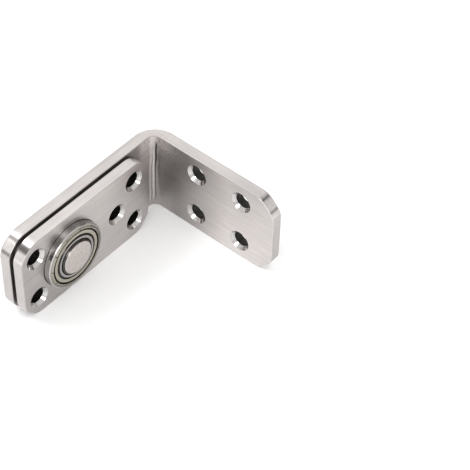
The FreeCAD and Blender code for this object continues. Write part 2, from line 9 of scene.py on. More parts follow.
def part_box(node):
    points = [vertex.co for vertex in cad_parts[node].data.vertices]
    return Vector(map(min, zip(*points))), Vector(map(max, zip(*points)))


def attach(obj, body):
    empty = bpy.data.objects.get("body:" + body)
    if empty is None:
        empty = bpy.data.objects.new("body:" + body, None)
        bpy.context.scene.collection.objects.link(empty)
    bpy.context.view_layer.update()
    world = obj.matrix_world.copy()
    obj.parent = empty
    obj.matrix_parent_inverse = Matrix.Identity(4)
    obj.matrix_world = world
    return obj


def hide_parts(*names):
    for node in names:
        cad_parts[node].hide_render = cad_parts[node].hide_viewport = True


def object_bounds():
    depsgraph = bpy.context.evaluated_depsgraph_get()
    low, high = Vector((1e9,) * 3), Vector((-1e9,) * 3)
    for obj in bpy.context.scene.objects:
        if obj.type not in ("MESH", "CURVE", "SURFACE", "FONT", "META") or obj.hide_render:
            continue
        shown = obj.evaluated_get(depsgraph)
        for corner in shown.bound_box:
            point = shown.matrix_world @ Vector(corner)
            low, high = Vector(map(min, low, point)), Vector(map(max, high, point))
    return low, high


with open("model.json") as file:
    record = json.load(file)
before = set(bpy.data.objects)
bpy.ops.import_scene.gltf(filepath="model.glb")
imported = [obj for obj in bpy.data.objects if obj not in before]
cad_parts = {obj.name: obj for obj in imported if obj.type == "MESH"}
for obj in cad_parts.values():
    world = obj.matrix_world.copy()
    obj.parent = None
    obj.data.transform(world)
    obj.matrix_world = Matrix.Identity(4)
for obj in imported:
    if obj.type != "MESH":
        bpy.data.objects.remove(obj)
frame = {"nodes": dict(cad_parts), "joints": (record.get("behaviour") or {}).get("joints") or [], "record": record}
nodes = frame["nodes"]
cad_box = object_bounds()

# Angle bracket: one stainless plate, sawn to length, bent to a corner in a press and drilled.
# Its faces keep the long grain of the belt that brushed the sheet, and carry painted shade that leaves its edges
# lighter. The four countersinks are turned bright, and the bores are painted dark, as painted shade.


def metal(name):
    """Material of bare metal, with its nodes and its shader for the rest of the finish."""
    material = bpy.data.materials.new(name)
    material.use_nodes = True
    shader = material.node_tree.nodes["Principled BSDF"]
    shader.inputs["Metallic"].default_value = 1.0
    return material, material.node_tree, shader


def node(tree, kind, settings=None, **inputs):
    """Node with its settings, and its inputs as numbers or as links from other sockets."""
    made = tree.nodes.new(kind)
    for key, value in (settings or {}).items():
        setattr(made, key, value)
    for key, value in inputs.items():
        number = key[1:].isdigit()
        socket = made.inputs[int(key[1:]) if number else key]
        if isinstance(value, bpy.types.NodeSocket):
            tree.links.new(value, socket)
        else:
            socket.default_value = value
    return made


def maths(tree, operation, first, second=0.0):
    """Result of one arithmetic step on sockets or numbers."""
    return node(tree, "ShaderNodeMath", {"operation": operation}, i0=first, i1=second).outputs[0]


def place_on_piece(tree):
    """The three coordinates of a point on a piece, in metres."""
    coordinates = node(tree, "ShaderNodeTexCoord").outputs["Object"]
    return node(tree, "ShaderNodeSeparateXYZ", i0=coordinates).outputs


def place(tree, first, second, third):
    """Point made of three values."""
    return node(tree, "ShaderNodeCombineXYZ", i0=first, i1=second, i2=third).outputs[0]


def grain(tree, point, scale, detail=2.0, roughness=0.5):
    """Even noise from 0 to 1, at a number of grains to the metre."""
    return node(tree, "ShaderNodeTexNoise", None, Vector=point, Scale=scale, Detail=detail,
                Roughness=roughness).outputs["Fac"]


def between(tree, value, from_low, from_high, to_low=0.0, to_high=1.0):
    """A value moved from one range to another, and held inside it."""
    made = node(tree, "ShaderNodeMapRange", None, Value=value)
    for name, number in (("From Min", from_low), ("From Max", from_high),
                         ("To Min", to_low), ("To Max", to_high)):
        made.inputs[name].default_value = number
    return made.outputs["Result"]


def until(tree, value, fade_start, fade_end):
    """1 up to where a fade starts, and 0 from its end."""
    return between(tree, value, fade_start, fade_end, 1.0, 0.0)


def two_tone(tree, value, dark, light):
    """Colour between two, by a value from 0 to 1. Each is a colour or a socket."""
    made = node(tree, "ShaderNodeMix", {"data_type": "RGBA"})
    tree.links.new(value, made.inputs[0])
    for socket, colour in ((made.inputs[6], dark), (made.inputs[7], light)):
        if isinstance(colour, bpy.types.NodeSocket):
            tree.links.new(colour, socket)
        else:
            socket.default_value = (*colour, 1.0)
    return made.outputs[2]


def mixed(tree, value, low, high):
    """Number between two sockets or numbers, by a value from 0 to 1."""
    made = node(tree, "ShaderNodeMix", {"data_type": "FLOAT"}, i0=value, i2=low, i3=high)
    return made.outputs[0]


def meeting(tree, first, *others):
    """Where several masks are all on."""
    for other in others:
        first = maths(tree, "MULTIPLY", first, other)
    return first


def press_bump(tree, shader, height, depth):
    """Bump on a shader, with its full height in metres."""
    bump = node(tree, "ShaderNodeBump", None, Height=height)
    bump.inputs["Strength"].default_value = 1.0
    bump.inputs["Distance"].default_value = depth
    tree.links.new(bump.outputs["Normal"], shader.inputs["Normal"])


def dress(names, material):
    """Gives carried-over pieces their finish."""
    for name in names:
        nodes[name].data.materials.clear()
        nodes[name].data.materials.append(material)


PLATE_DARK = (0.595, 0.556, 0.542)
PLATE_LIGHT = (0.845, 0.797, 0.777)
CONE_DARK = (0.20, 0.19, 0.185)
CONE_BRIGHT = (0.74, 0.72, 0.71)
UNLIT = (0.0, 0.0, 0.0)
COUNTERSINK_RADIUS = 0.00614
RIM_FADE = 0.00006
CONE_FADE = 0.0001

# Grains to the metre, levels of finer grain, and how much those count.
SCRATCHES = (5200.0, 3.0, 0.65)
STROKES = (1100.0, 2.0, 0.5)
CLOUDS = (55.0, 3.0, 0.55)
LATHE_LINES = (6000.0, 2.0, 0.5)
SCRATCH_STRETCH = 0.02
CLOUD_STRETCH = 0.35
STROKE_SHARE = 0.45
CLOUD_SHARE = 0.35
PLATE_CONTRAST = (0.36, 0.64)
CONE_CONTRAST = (0.36, 0.60)

SATIN_ROUGHNESS = (0.30, 0.44)
DULL_ROUGHNESS = 0.62
CONE_ROUGHNESS = 0.17
BORE_ROUGHNESS = 0.5
GRAIN_DEPTH = 0.000016
MILLIMETRE = 0.001

mounts = {mount["name"]: mount for mount in frame["record"]["mounts"]}
bore_radius = mounts["frame_screws"]["dims"]["hole_r_mm"] * MILLIMETRE


def brushed_plate(tree, shader, along, across, through, hole_distance, cone_start, bore_shade, shade, dull):
    """Brushed plate: scratches with the grain, faint clouds, bright turned countersinks, bores painted dark as
    painted shade, and the colour darkened by a painted shade factor.
    """
    stretched = place(tree, maths(tree, "MULTIPLY", along, SCRATCH_STRETCH), across, through)
    drifting = place(tree, maths(tree, "MULTIPLY", along, CLOUD_STRETCH), across, through)
    streaks = mixed(tree, STROKE_SHARE, grain(tree, stretched, *SCRATCHES), grain(tree, stretched, *STROKES))
    tone = mixed(tree, CLOUD_SHARE, streaks, grain(tree, drifting, *CLOUDS))
    tone = between(tree, tone, *PLATE_CONTRAST)
    turned = grain(tree, place(tree, hole_distance, 0.0, 0.0), *LATHE_LINES)
    in_bore = until(tree, hole_distance, bore_radius + RIM_FADE, bore_radius + 2 * RIM_FADE)
    in_cone = meeting(tree, until(tree, hole_distance, COUNTERSINK_RADIUS, COUNTERSINK_RADIUS + RIM_FADE),
                      between(tree, through, cone_start, cone_start + CONE_FADE))

    plate = two_tone(tree, shade, UNLIT, two_tone(tree, tone, PLATE_DARK, PLATE_LIGHT))
    cone = two_tone(tree, between(tree, turned, *CONE_CONTRAST), CONE_DARK, CONE_BRIGHT)
    colour = two_tone(tree, in_bore, two_tone(tree, in_cone, plate, cone), bore_shade)
    tree.links.new(colour, shader.inputs["Base Color"])

    satin = mixed(tree, dull, between(tree, tone, 0.0, 1.0, *SATIN_ROUGHNESS), DULL_ROUGHNESS)
    roughness = mixed(tree, in_bore, mixed(tree, in_cone, satin, CONE_ROUGHNESS), BORE_ROUGHNESS)
    tree.links.new(roughness, shader.inputs["Roughness"])
    press_bump(tree, shader, mixed(tree, in_cone, streaks, turned), GRAIN_DEPTH)


def reach(tree, first, second):
    """Distance in a plane from its two parts."""
    squares = [maths(tree, "MULTIPLY", part, part) for part in (first, second)]
    return maths(tree, "SQRT", maths(tree, "ADD", *squares))


def apart(tree, value, centre=0.0):
    """Distance of a value from another."""
    return maths(tree, "ABSOLUTE", maths(tree, "SUBTRACT", value, centre))


def from_four_holes(tree, first, second, middle, dims):
    """Distance to the nearest of a mount's four holes, which stand in a rectangle."""
    half_pitches = [dims[name] * MILLIMETRE / 2 for name in ("spacing_x_mm", "spacing_y_mm")]
    parts = [maths(tree, "SUBTRACT", apart(tree, value, centre), half)
             for value, centre, half in zip((first, second), middle, half_pitches)]
    return reach(tree, *parts)


STRIPE_CORE = 0.4


def stripe(tree, value, centre, half_width):
    """1 along a line, which fades to 0 at its half width."""
    return until(tree, apart(tree, value, centre), STRIPE_CORE * half_width, half_width)


FRAME_CONE_START = 0.0043
# The bracket's bores are painted near black, as painted shade inside the holes.
FRAME_BORE_SHADE = (0.052, 0.049, 0.047)
PLATE_THICKNESS = 0.0063
BEND_RADIUS = 0.0108

# Where the plate's sides and ends set in: the start and the end of each fade.
OUTER_SKIN = (0.0005, 0.0008)
INNER_SKIN = (0.0058, 0.0062)
LONG_EDGE = (0.0243, 0.0247)
NEAR_LONG_EDGE = (0.0205, 0.0210)
PIVOT_END = (-0.0325, -0.0320)
NEAR_PIVOT_END = (-0.0300, -0.0295)
FRAME_END = (0.0845, 0.0850)
NEAR_FRAME_END = (0.0820, 0.0825)
UNDER_LEAF = (0.0585, 0.0615)

bracket_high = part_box("frame_bracket")[1]
bracket_steel, bracket_tree, bracket_shader = metal("bracket_brushed_steel")
x, y, z = place_on_piece(bracket_tree)
from_middle = apart(bracket_tree, z)
round_the_bend = maths(bracket_tree, "ADD", x, y)
bend_centre_y = bracket_high.y - BEND_RADIUS
to_bend_x = maths(bracket_tree, "MAXIMUM", maths(bracket_tree, "SUBTRACT", BEND_RADIUS, x), 0.0)
to_bend_y = maths(bracket_tree, "MAXIMUM", maths(bracket_tree, "SUBTRACT", y, bend_centre_y), 0.0)
in_the_plate = maths(bracket_tree, "SUBTRACT", BEND_RADIUS, reach(bracket_tree, to_bend_x, to_bend_y))
on_inside = between(bracket_tree, in_the_plate, *INNER_SKIN)
on_edge = between(bracket_tree, from_middle, *LONG_EDGE)

# The inside is painted darker near the bend, lighter along each leg and darker again towards the frame end, all as
# painted shade. A rough patch at the top of the bend is painted light, as a painted highlight. Each fade: from and
# to where, both tones.
CORNER_FADE = (0.004, 0.014, 0.62, 0.45)
LEG_FADE = (0.017, 0.050, 0.45, 0.92)
END_FADE = (0.046, 0.078, 1.0, 0.84)
LIT_PATCH_HEIGHT = (0.002, 0.020)
LIT_PATCH_REACH = (0.008, 0.022)
SPECKLE = (2600.0, 2.0, 0.6)
SPECKLE_STRETCH = 0.25
SPECKLE_CONTRAST = (0.40, 0.50)

from_bend = maths(bracket_tree, "MAXIMUM", maths(bracket_tree, "SUBTRACT", x, PLATE_THICKNESS),
                  maths(bracket_tree, "SUBTRACT", bracket_high.y - PLATE_THICKNESS, y))
inside_shade = maths(bracket_tree, "MAXIMUM", between(bracket_tree, from_bend, *CORNER_FADE),
                     between(bracket_tree, from_bend, *LEG_FADE))
inside_shade = maths(bracket_tree, "MULTIPLY", inside_shade, between(bracket_tree, from_bend, *END_FADE))
# Painted highlight: a speckled light patch at the top of the bend, which is also rough.
speckle = grain(bracket_tree,
                place(bracket_tree, maths(bracket_tree, "MULTIPLY", from_bend, SPECKLE_STRETCH), 0.0, z),
                *SPECKLE)
rough_lit_patch = meeting(bracket_tree, between(bracket_tree, z, *LIT_PATCH_HEIGHT),
                 until(bracket_tree, from_bend, *LIT_PATCH_REACH),
                 between(bracket_tree, speckle, *SPECKLE_CONTRAST))
inside_shade = mixed(bracket_tree, rough_lit_patch, inside_shade, 1.0)

# Down the middle of the bend runs the wavering double crease that the press left: a painted highlight along each
# ridge and painted shade in each groove. Each line: how far it lies from the middle, and its half width.
MAIN_RIDGE_HIGHLIGHT = (-0.0002, 0.0008)
MAIN_SHADED_GROOVE = (0.0010, 0.0009)
SECOND_RIDGE_HIGHLIGHT = (-0.0028, 0.0008)
SECOND_SHADED_GROOVE = (-0.0016, 0.0008)
SECOND_HIGHLIGHT_SHARE = 0.7
SECOND_SHADE_SHARE = 0.45
GROOVE_SHADE = 0.14
CREASE_END = (0.0190, 0.0215)
SECOND_CREASE_TOP = (0.004, 0.012)
WAVES = (75.0, 1.0, 0.4)
WAVER = (0.25, 0.75, -0.0005, 0.0005)
CREASE_LEAN = (0.002, 0.008, -0.0005, 0.0004)

waver = between(bracket_tree, grain(bracket_tree, place(bracket_tree, z, 0.0, 0.0), *WAVES), *WAVER)
waver = maths(bracket_tree, "ADD", waver, between(bracket_tree, z, *CREASE_LEAN))
across_bend = maths(bracket_tree, "SUBTRACT", round_the_bend, bracket_high.y)
across_bend = maths(bracket_tree, "SUBTRACT", across_bend, waver)
creased = until(bracket_tree, from_middle, *CREASE_END)
second_crease = until(bracket_tree, z, *SECOND_CREASE_TOP)
second_ridge_highlight = meeting(bracket_tree, second_crease, stripe(bracket_tree, across_bend, *SECOND_RIDGE_HIGHLIGHT),
                       SECOND_HIGHLIGHT_SHARE)
second_shaded_groove = meeting(bracket_tree, second_crease, stripe(bracket_tree, across_bend, *SECOND_SHADED_GROOVE),
                        SECOND_SHADE_SHARE)
ridge_highlights = maths(bracket_tree, "MAXIMUM", stripe(bracket_tree, across_bend, *MAIN_RIDGE_HIGHLIGHT), second_ridge_highlight)
shaded_grooves = maths(bracket_tree, "MAXIMUM", stripe(bracket_tree, across_bend, *MAIN_SHADED_GROOVE), second_shaded_groove)
# Painted highlight along the ridges and painted shade in the grooves.
inside_shade = mixed(bracket_tree, meeting(bracket_tree, creased, ridge_highlights), inside_shade, 1.0)
inside_shade = mixed(bracket_tree, meeting(bracket_tree, creased, shaded_grooves), inside_shade, GROOVE_SHADE)

# A dark line is painted across the plate's edge at each turn of a corner, as painted shade where the corner turns
# from the light. Each mark: the place of its middle, and its half width.
PIVOT_SIDE_MARK = (-0.0262, 0.0014)
PIVOT_END_MARK = (0.0180, 0.0012)
FRAME_SIDE_MARK = (0.0774, 0.0007)
FRAME_END_MARK = (0.0187, 0.0008)
MARK_SHADE = 0.20

near_edge = between(bracket_tree, from_middle, *NEAR_LONG_EDGE)
near_pivot_end = until(bracket_tree, y, *NEAR_PIVOT_END)
near_frame_end = between(bracket_tree, x, *NEAR_FRAME_END)
corner_shade_marks = 0.0
for mark, reached, strength in (
        (stripe(bracket_tree, y, *PIVOT_SIDE_MARK), near_edge, 1.0),
        (stripe(bracket_tree, from_middle, *PIVOT_END_MARK), near_pivot_end, 0.8),
        (stripe(bracket_tree, x, *FRAME_SIDE_MARK), near_edge, 0.6),
        (stripe(bracket_tree, from_middle, *FRAME_END_MARK), near_frame_end, 0.6)):
    corner_shade_marks = maths(bracket_tree, "MAXIMUM", corner_shade_marks,
                          meeting(bracket_tree, mark, reached, strength))

# The edges are lighter than the faces, but for the ends and the outside, which are painted darker as painted
# shade. Where the inside meets an edge the corner is dull and painted darker, and behind the leaf the inside is
# painted dark, both as painted shade.
EDGE_SHADE = 0.90
END_SHADE = 0.64
OUTSIDE_SHADE = 0.70
GAP_SHADE = 0.50
DULL_CORNER_SHADE = 0.62

# Painted shade on the ends and on the outside.
at_an_end = maths(bracket_tree, "MAXIMUM", until(bracket_tree, y, *PIVOT_END),
                  between(bracket_tree, x, *FRAME_END))
edge_shade = mixed(bracket_tree, at_an_end, EDGE_SHADE, END_SHADE)
# Painted shade: the dark line across the edge at each turn of a corner.
edge_shade = mixed(bracket_tree, corner_shade_marks, edge_shade, MARK_SHADE)
off_outside = between(bracket_tree, in_the_plate, *OUTER_SKIN)
edge_shade = mixed(bracket_tree, off_outside, OUTSIDE_SHADE, edge_shade)
# Painted shade on the inside behind the leaf, in the gap.
under_leaf = meeting(bracket_tree, on_inside, until(bracket_tree, y, *UNDER_LEAF))
inside_shade = mixed(bracket_tree, under_leaf, inside_shade, GAP_SHADE)
inside_face = meeting(bracket_tree, on_inside, maths(bracket_tree, "SUBTRACT", 1.0, on_edge))
# Painted shade along the inside's top corner, which is also rougher.
dull_shaded_corner = meeting(bracket_tree, on_inside, on_edge)
bracket_shade = mixed(bracket_tree, inside_face, edge_shade, inside_shade)
bracket_shade = mixed(bracket_tree, dull_shaded_corner, bracket_shade, DULL_CORNER_SHADE)
frame_screws = mounts["frame_screws"]
screws_middle = (frame_screws["pos_m"][0], frame_screws["pos_m"][2])
frame_holes = from_four_holes(bracket_tree, x, z, screws_middle, frame_screws["dims"])
brushed_plate(bracket_tree, bracket_shader, round_the_bend, z, in_the_plate, frame_holes, FRAME_CONE_START,
              FRAME_BORE_SHADE, bracket_shade, maths(bracket_tree, "MAXIMUM", dull_shaded_corner, rough_lit_patch))
dress(["frame_bracket"], bracket_steel)

# Pivot pin: turned from bar, shouldered on the bracket and riveted flush on its outer face.
# Its front end is faced off matt and faintly mottled, with a chamfer round it that is painted dark, as painted
# shade.

TURNED_RINGS = (4200.0, 2.0, 0.5)
TURN_STRETCH = 0.0002
MOTTLING = (420.0, 3.0, 0.6)
TURNED_CONTRAST = (0.25, 0.75)
BAND_FADE = 0.00004


def turned_finish(name, dark, light, roughness, depth, mottle, shade_bands=()):
    """Fine turned rings about the pivot axis, a share of mottling, and bands of painted shade in another tone."""
    material, tree, shader = metal(name)
    x, y, z = place_on_piece(tree)
    radius = reach(tree, y, z)
    turn = maths(tree, "ARCTAN2", z, y)
    rings = grain(tree, place(tree, radius, maths(tree, "MULTIPLY", turn, TURN_STRETCH), x), *TURNED_RINGS)
    blotches = grain(tree, place(tree, x, y, z), *MOTTLING)
    tone = between(tree, mixed(tree, mottle, rings, blotches), *TURNED_CONTRAST)
    colour = two_tone(tree, tone, dark, light)
    for band_start, band_end, band_shade in shade_bands:
        past_start = between(tree, radius, band_start - BAND_FADE, band_start + BAND_FADE)
        before_end = until(tree, radius, band_end - BAND_FADE, band_end + BAND_FADE)
        colour = two_tone(tree, meeting(tree, past_start, before_end), colour, band_shade)
    tree.links.new(colour, shader.inputs["Base Color"])
    tree.links.new(between(tree, tone, 0.0, 1.0, *roughness), shader.inputs["Roughness"])
    press_bump(tree, shader, rings, depth)
    return material


# Each band of painted shade: its start and its end from the axis, and its tone.
# The pin's chamfer band is painted shade.
PIN_SHADE_BANDS = ((0.0092, 0.0102, (0.062, 0.057, 0.054)),)
dress(["pivot_pin"],
      turned_finish("pin_faced_steel", dark=(0.525, 0.478, 0.450), light=(0.585, 0.538, 0.512),
                    roughness=(0.24, 0.32), depth=0.000002, mottle=0.8, shade_bands=PIN_SHADE_BANDS))

# Spacer ring: a plain turned washer round the pin, which keeps the bearing off the bracket.
# It sits in the gap behind the leaf, where the finish stays as it left the lathe.

dress(["spacer_ring"],
      turned_finish("spacer_turned_steel", dark=(0.45, 0.44, 0.43), light=(0.60, 0.59, 0.58),
                    roughness=(0.30, 0.45), depth=0.000006, mottle=0.3))

# Bearing rings: hardened rings with ground faces and a raceway in each. The inner ring is
# pressed on the pin and the outer ring into the leaf's seat.

# The bands are painted shade: black in the inner ring's bore chamfer and at its outer rim, black in the outer
# ring's mouth behind the shield, and darker tones on the outer ring's face and chamfer.
SHADE_BLACK = (0.03, 0.028, 0.026)
INNER_RING_SHADE_BANDS = ((0.0095, 0.0107, SHADE_BLACK), (0.0119, 0.0131, SHADE_BLACK))
OUTER_RING_SHADE_BANDS = ((0.0145, 0.01738, SHADE_BLACK), (0.01738, 0.01812, (0.33, 0.315, 0.295)),
                    (0.01835, 0.01865, (0.42, 0.405, 0.395)))
# The inner ring is painted a darker copy of the outer ring's ground steel, as painted shade.
dress(["bearing_inner_ring"],
      turned_finish("inner_ring_shaded_ground_steel", dark=(0.32, 0.305, 0.295), light=(0.41, 0.39, 0.38),
                    roughness=(0.18, 0.28), depth=0.000002, mottle=0.3, shade_bands=INNER_RING_SHADE_BANDS))
dress(["bearing_outer_ring"],
      turned_finish("outer_ring_ground_steel", dark=(0.52, 0.50, 0.49), light=(0.66, 0.64, 0.63),
                    roughness=(0.24, 0.30), depth=0.000002, mottle=0.3, shade_bands=OUTER_RING_SHADE_BANDS))

# Balls: twelve balls of hardened bearing steel, lapped round and bright like a mirror. Each
# lies loose in its pocket of the cage and rolls in the raceways of both rings.

dress([name for name in nodes if name.startswith("ball_")],
      turned_finish("ball_polished_steel", dark=(0.70, 0.70, 0.71), light=(0.78, 0.78, 0.79),
                    roughness=(0.05, 0.10), depth=0.0000002, mottle=0.9))

# Ball cage: two halves pressed from thin steel strip, with half a pocket for each ball in
# both. They clasp the balls from the front and from the back, and carry them round evenly.

cage_steel = turned_finish("cage_pressed_steel", dark=(0.50, 0.49, 0.47), light=(0.62, 0.61, 0.59),
                           roughness=(0.28, 0.42), depth=0.000003, mottle=0.7)
dress(["cage_half_front", "cage_half_rear"], cage_steel)

# Cage rivets: twelve soft steel rivets, one between each two balls, with a head domed on both
# sides of the strips that they hold together.

RIVET_COUNT = 12
SHANK_RADIUS = 0.00045
HEAD_RADIUS = 0.0008
HEAD_HEIGHT = 0.00035
STRIPS_HALF = 0.00045
DOME_STEPS = 6
LATHE_STEPS = 24
WELD = 0.000001
SHARP_ANGLE = math.radians(40.0)

leaf_turn = frame["joints"][0]
bearing_middle = leaf_turn["pos_m"][0]
ball_low, ball_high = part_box("ball_01")
ball_circle = (ball_low.y + ball_high.y) / 2

half_profile = []
for step in range(DOME_STEPS + 1):
    turn = math.pi / 2 * step / DOME_STEPS
    half_profile.append((STRIPS_HALF + HEAD_HEIGHT * math.cos(turn), HEAD_RADIUS * math.sin(turn)))
half_profile.append((STRIPS_HALF, SHANK_RADIUS))
profile = half_profile + [(-height, radius) for height, radius in reversed(half_profile)]

lathe = bmesh.new()
points = [lathe.verts.new((height, radius, 0.0)) for height, radius in profile]
edges = [lathe.edges.new(pair) for pair in zip(points, points[1:])]
bmesh.ops.spin(lathe, geom=points + edges, cent=(0.0, 0.0, 0.0), axis=(1.0, 0.0, 0.0), dvec=(0.0, 0.0, 0.0),
               angle=math.tau, steps=LATHE_STEPS, use_merge=False)
bmesh.ops.remove_doubles(lathe, verts=lathe.verts, dist=WELD)
bmesh.ops.dissolve_degenerate(lathe, edges=lathe.edges, dist=WELD)
bmesh.ops.recalc_face_normals(lathe, faces=lathe.faces)
rivet_mesh = bpy.data.meshes.new("cage_rivet")
lathe.to_mesh(rivet_mesh)
lathe.free()

ring_of_rivets = bpy.data.node_groups.new("ring_of_rivets", "GeometryNodeTree")
sockets = {}
for label, direction, kind in (("Rivet", "INPUT", "NodeSocketGeometry"),
                               ("Count", "INPUT", "NodeSocketInt"),
                               ("Circle radius", "INPUT", "NodeSocketFloat"),
                               ("Middle", "INPUT", "NodeSocketFloat"),
                               ("Finish", "INPUT", "NodeSocketMaterial"),
                               ("Rivets", "OUTPUT", "NodeSocketGeometry")):
    sockets[label] = ring_of_rivets.interface.new_socket(name=label, in_out=direction, socket_type=kind)
given = ring_of_rivets.nodes.new("NodeGroupInput").outputs
spots = node(ring_of_rivets, "GeometryNodePoints", None, Count=given["Count"]).outputs[0]
number = node(ring_of_rivets, "GeometryNodeInputIndex").outputs[0]
turn = maths(ring_of_rivets, "DIVIDE", maths(ring_of_rivets, "ADD", number, 0.5), given["Count"])
turn = maths(ring_of_rivets, "MULTIPLY", turn, math.tau)
sideways = maths(ring_of_rivets, "MULTIPLY", maths(ring_of_rivets, "COSINE", turn), given["Circle radius"])
upwards = maths(ring_of_rivets, "MULTIPLY", maths(ring_of_rivets, "SINE", turn), given["Circle radius"])
spots = node(ring_of_rivets, "GeometryNodeSetPosition", None, Geometry=spots,
             Position=place(ring_of_rivets, given["Middle"], sideways, upwards)).outputs[0]
placed = node(ring_of_rivets, "GeometryNodeInstanceOnPoints", None, Points=spots, Instance=given["Rivet"],
              Rotation=place(ring_of_rivets, turn, 0.0, 0.0)).outputs[0]
real = node(ring_of_rivets, "GeometryNodeRealizeInstances", None, Geometry=placed).outputs[0]
finished = node(ring_of_rivets, "GeometryNodeSetMaterial", None, Geometry=real,
                Material=given["Finish"]).outputs[0]
ring_of_rivets.links.new(finished, ring_of_rivets.nodes.new("NodeGroupOutput").inputs["Rivets"])

rivet_jig = bpy.data.objects.new("rivet_jig", rivet_mesh)
bpy.context.scene.collection.objects.link(rivet_jig)
riveting = rivet_jig.modifiers.new("riveting", "NODES")
riveting.node_group = ring_of_rivets
for label, value in (("Count", RIVET_COUNT), ("Circle radius", ball_circle), ("Middle", bearing_middle),
                     ("Finish", cage_steel)):
    riveting[sockets[label].identifier] = value
evaluated = rivet_jig.evaluated_get(bpy.context.evaluated_depsgraph_get())
rivets_mesh = bpy.data.meshes.new_from_object(evaluated)
rivet_jig.modifiers.remove(riveting)
bpy.data.objects.remove(rivet_jig)
rivets_mesh.shade_smooth()
rivets_mesh.set_sharp_from_angle(angle=SHARP_ANGLE)
cage_rivets_domed = bpy.data.objects.new("cage_rivets_domed", rivets_mesh)
bpy.context.scene.collection.objects.link(cage_rivets_domed)
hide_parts("cage_rivets")
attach(cage_rivets_domed, "ball_set")

# Shields: rings pressed from thin sheet, with a groove and a rolled rim that is slit into
# tabs and sprung behind the outer ring's lip. They are matt, and slightly olive from oil.

# The bands are painted shade: black in the gap round the inner ring and in the groove, and a darker tone on the
# rolled rim.
SHIELD_SHADE_BANDS = ((0.0130, 0.0132, SHADE_BLACK), (0.01494, 0.01602, SHADE_BLACK),
                (0.01602, 0.01735, (0.34, 0.315, 0.265)))
SLIT_COUNT = 11
FIRST_SLIT = math.radians(11.6)
SLIT_HALF_WIDTH = 0.0004
SLIT_SHADE = (0.19, 0.178, 0.155)
RIM_RADIUS = 0.01655
RIM_START = (0.0159, 0.0160)

shield_steel = turned_finish("shield_pressed_steel", dark=(0.35, 0.325, 0.268), light=(0.47, 0.438, 0.365),
                             roughness=(0.24, 0.34), depth=0.000002, mottle=0.6, shade_bands=SHIELD_SHADE_BANDS)
shield_tree = shield_steel.node_tree
shield_colour = shield_tree.nodes["Principled BSDF"].inputs["Base Color"]
x, y, z = place_on_piece(shield_tree)
# Painted shade: a dark patch painted over each slit.
slit_pitch = math.tau / SLIT_COUNT
from_first_slit = maths(shield_tree, "SUBTRACT", maths(shield_tree, "ARCTAN2", z, y), FIRST_SLIT)
in_pitches = maths(shield_tree, "DIVIDE", from_first_slit, slit_pitch)
from_slit = apart(shield_tree, maths(shield_tree, "FRACT", maths(shield_tree, "ADD", in_pitches, 0.5)), 0.5)
shaded_slits = meeting(shield_tree, stripe(shield_tree, from_slit, 0.0, SLIT_HALF_WIDTH / RIM_RADIUS / slit_pitch),
                between(shield_tree, reach(shield_tree, y, z), *RIM_START))
shield_tree.links.new(two_tone(shield_tree, shaded_slits, shield_colour.links[0].from_socket, SLIT_SHADE),
                      shield_colour)
dress(["bearing_shield_front", "bearing_shield_rear"], shield_steel)

# Door leaf: a flat stainless plate that the door is screwed to, with a lipped seat bored for
# the bearing and five countersunk holes. It is brushed along its length as the bracket is.

LEAF_CONE_START = 0.0123
# The leaf's bores are painted near black, as painted shade inside the holes.
LEAF_BORE_SHADE = (0.035, 0.033, 0.032)

# The start and the end of each fade: from the front, from the back and from the short end, and
# for the long edges from the middle line.
LEAF_FRONT = (-0.0004, -0.0001)
LEAF_BACK = (0.0001, 0.0003)
LEAF_END = (0.0003, 0.0006)
NEAR_LEAF_EDGE = (0.0205, 0.0210)

# The face is painted lightest between the seat and the middle hole, and darker towards both ends, as painted
# shade.
LEAF_LIGHTEST = 0.027
FACE_FADE = (0.005, 0.035, 0.75, 0.60)
# Painted shade: a dark ring painted round the foot of the bearing's seat.
SEAT_SHADE_RING = (0.01862, 0.0003)
SEAT_LINE_SHADE = 0.10
# Painted shade: the short end painted darker, and a dark line painted across the edges near it, at the turn of the
# corner.
LEAF_END_SHADE = 0.66
LEAF_CORNER_SHADE_LINE = (-0.0271, 0.0023)
LEAF_MARK_SHADE = 0.18

leaf_low, leaf_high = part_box("door_leaf")
leaf_steel, leaf_tree, leaf_shader = metal("leaf_brushed_steel")
x, y, z = place_on_piece(leaf_tree)
leaf_screws = mounts["leaf_screws"]
corner_holes = from_four_holes(leaf_tree, y, z, leaf_screws["pos_m"][1:], leaf_screws["dims"])
middle_hole_y = mounts["leaf_middle_screw"]["pos_m"][1]
middle_hole = reach(leaf_tree, maths(leaf_tree, "SUBTRACT", y, middle_hole_y), z)
leaf_front = between(leaf_tree, x, *(leaf_high.x + inwards for inwards in LEAF_FRONT))
leaf_back = until(leaf_tree, x, *(leaf_low.x + inwards for inwards in LEAF_BACK))
leaf_end = until(leaf_tree, y, *(leaf_low.y + inwards for inwards in LEAF_END))
near_leaf_edge = between(leaf_tree, apart(leaf_tree, z), *NEAR_LEAF_EDGE)
face_shade = between(leaf_tree, apart(leaf_tree, y, LEAF_LIGHTEST), *FACE_FADE)
seat_shade_ring = stripe(leaf_tree, reach(leaf_tree, y, z), *SEAT_SHADE_RING)
face_shade = mixed(leaf_tree, seat_shade_ring, face_shade, SEAT_LINE_SHADE)
leaf_edge = mixed(leaf_tree, leaf_end, EDGE_SHADE, LEAF_END_SHADE)
leaf_corner_shade = meeting(leaf_tree, near_leaf_edge, stripe(leaf_tree, y, *LEAF_CORNER_SHADE_LINE))
leaf_edge = mixed(leaf_tree, leaf_corner_shade, leaf_edge, LEAF_MARK_SHADE)
leaf_shade = mixed(leaf_tree, leaf_front, leaf_edge, face_shade)
